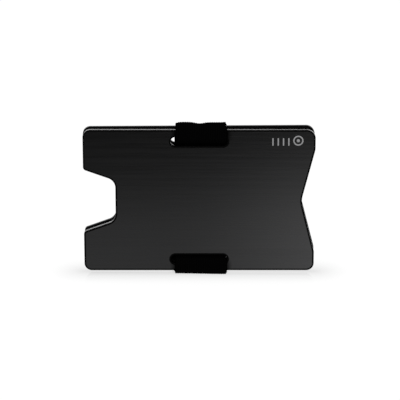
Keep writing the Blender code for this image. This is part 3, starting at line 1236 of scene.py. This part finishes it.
class CARD_HOLDER_OT_anodised_plates(bpy.types.Operator):
    """Make the two plates, with rounded edges and a brushed black finish"""

    bl_idname = "card_holder.anodised_plates"
    bl_label = "Anodised Plates"

    def execute(self, context):
        plates = context.scene.card_holder_plates
        front_sides = (plates.wall_colour, plates.wall_roughness, plates.wall_metal)
        # Painted shade: the rear plate's sides take the edges' deep black, with their own roughness and
        # metal, so that they render darker than the front plate's sides
        rear_shaded_sides = (plates.edge_colour, plates.rear_wall_roughness, plates.rear_wall_metal)
        front_film = anodised_material("front_black_anodised", plates, FRONT_BRUSHING, *front_sides)
        rear_shaded_film = anodised_material("rear_black_anodised", plates, REAR_BRUSHING, *rear_shaded_sides)
        front = plate_object("front_plate_anodised", FRONT, 0.0, 0.0, plates, front_film, "front_plate")
        skew = plates.rear_skew
        rear = plate_object("rear_plate_anodised", REAR, rear_rise, skew, plates, rear_shaded_film, "rear_plate")
        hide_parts("front_plate")
        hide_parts("rear_plate")
        return {"FINISHED"}


class CARD_HOLDER_OT_elastic_band(bpy.types.Operator):
    """Make the elastic band: its runs through the plates' slots, and a loop over each long edge"""

    bl_idname = "card_holder.elastic_band"
    bl_label = "Elastic Band"

    def execute(self, context):
        band = context.scene.card_holder_band
        plates = context.scene.card_holder_plates
        material = woven_material(band)
        lines = band_lines(band, plates, context.scene.card_holder_seam)
        rings = band_rings(lines[0] + [point for line in lines[1:] for point in line[1:]])
        first = 0
        for line, (name, body, cad_node) in zip(lines, BAND_LENGTHS):
            last = first + len(line) - 1
            obj = band_length(name, band, plates, rings[first : last + 1], material, body)
            if body is None:
                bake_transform(obj)
            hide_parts(cad_node)
            first = last
        return {"FINISHED"}


class CARD_HOLDER_OT_sewn_joint(bpy.types.Operator):
    """Sew the two ends of the band together inside the rear plate"""

    bl_idname = "card_holder.sewn_joint"
    bl_label = "Sewn Joint"

    def execute(self, context):
        band = context.scene.card_holder_band
        seam = context.scene.card_holder_seam
        obj = linked("band_seam_thread", bpy.data.meshes.new("band_seam_thread"))
        thickness = band_thickness(band)
        through_nodes(
            obj,
            shared_group(zigzag_seam_tree),
            {
                "Stitches": seam.stitches,
                "Seam Width": band.width - 2 * seam.margin,
                "Stitch Height": seam.stitch_height,
                "Row Spacing": seam.row_spacing,
                "Face Spacing": thickness - 2 * seam.crest,
                "Dip": seam.dip,
                "Thread Radius": seam.thread / 2,
                "Middle": (band_middle_x, plate_inner_face - band.gap - thickness / 2, plate_middle),
                "Material": thread_material(seam),
            },
        )
        ready(obj, "rear_plate")
        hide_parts("band_sewn_joint")
        return {"FINISHED"}


class CARD_HOLDER_OT_etched_mark(bpy.types.Operator):
    """Etch a plain mark of bars, a ring and a dot in the front plate"""

    bl_idname = "card_holder.etched_mark"
    bl_label = "Etched Mark"

    def execute(self, context):
        mark = context.scene.card_holder_mark
        made = bmesh.new()
        depth = mark.sunk + mark.relief
        levels = [(0.0, 0.0), (0.0, mark.sunk), (mark.relief / 2, depth)]
        top = mark.rise + mark.height
        for index in range(mark.bars):
            left = mark.left + index * mark.pitch
            right = left + mark.stroke
            corners = [(left, mark.rise), (right, mark.rise), (right, top), (left, top)]
            bar = rounded_outline([(x, z, mark.stroke / 4) for x, z in corners])
            layered_body(made, [bar], levels, [])
        centre = (mark.ring_place, mark.rise + mark.ring / 2)
        inside = circle(centre, mark.ring / 2 - mark.stroke)[::-1]
        layered_body(made, [circle(centre, mark.ring / 2), inside], levels, [])
        layered_body(made, [circle(centre, mark.dot / 2)], levels, [])
        for point in made.verts:
            point.co.y = -(plate_outer_face - mark.sunk + point.co.y)
            point.co.z += plate_middle
        obj = smooth_object(made, "front_etched_mark", etched_material(mark))
        ready(obj, "front_plate")
        return {"FINISHED"}


class CARD_HOLDER_OT_stage(bpy.types.Operator):
    """Set up the pale floor, the soft light and the camera"""

    bl_idname = "card_holder.stage"
    bl_label = "Stage"

    def execute(self, context):
        stage = context.scene.card_holder_stage
        make_floor(stage)
        make_world(stage)
        make_lamp(stage)
        make_camera(stage)
        context.scene.view_settings.view_transform = "Standard"
        return {"FINISHED"}


STEPS = (
    CARD_HOLDER_OT_anodised_plates,
    CARD_HOLDER_OT_elastic_band,
    CARD_HOLDER_OT_sewn_joint,
    CARD_HOLDER_OT_etched_mark,
    CARD_HOLDER_OT_stage,
)
SETTINGS = {
    "card_holder_plates": PlateSettings,
    "card_holder_band": BandSettings,
    "card_holder_seam": SeamSettings,
    "card_holder_mark": MarkSettings,
    "card_holder_stage": StageSettings,
}


class CARD_HOLDER_PT_builder(bpy.types.Panel):
    """Lists the steps that build the card holder"""

    bl_idname = "CARD_HOLDER_PT_builder"
    bl_label = "Card Holder"
    bl_space_type = "VIEW_3D"
    bl_region_type = "UI"
    bl_category = "Card Holder"

    def draw(self, context):
        for step in STEPS:
            self.layout.operator(step.bl_idname)


def register():
    for settings_name, settings in SETTINGS.items():
        bpy.utils.register_class(settings)
        setattr(bpy.types.Scene, settings_name, PointerProperty(type=settings))
    for step in STEPS:
        bpy.utils.register_class(step)
    bpy.utils.register_class(CARD_HOLDER_PT_builder)


def unregister():
    bpy.utils.unregister_class(CARD_HOLDER_PT_builder)
    for step in reversed(STEPS):
        bpy.utils.unregister_class(step)
    for settings_name, settings in reversed(SETTINGS.items()):
        delattr(bpy.types.Scene, settings_name)
        bpy.utils.unregister_class(settings)


def main():
    register()
    bpy.ops.card_holder.anodised_plates()
    bpy.ops.card_holder.elastic_band()
    bpy.ops.card_holder.sewn_joint()
    bpy.ops.card_holder.etched_mark()
    bpy.ops.card_holder.stage()


if __name__ == "__main__":
    main()
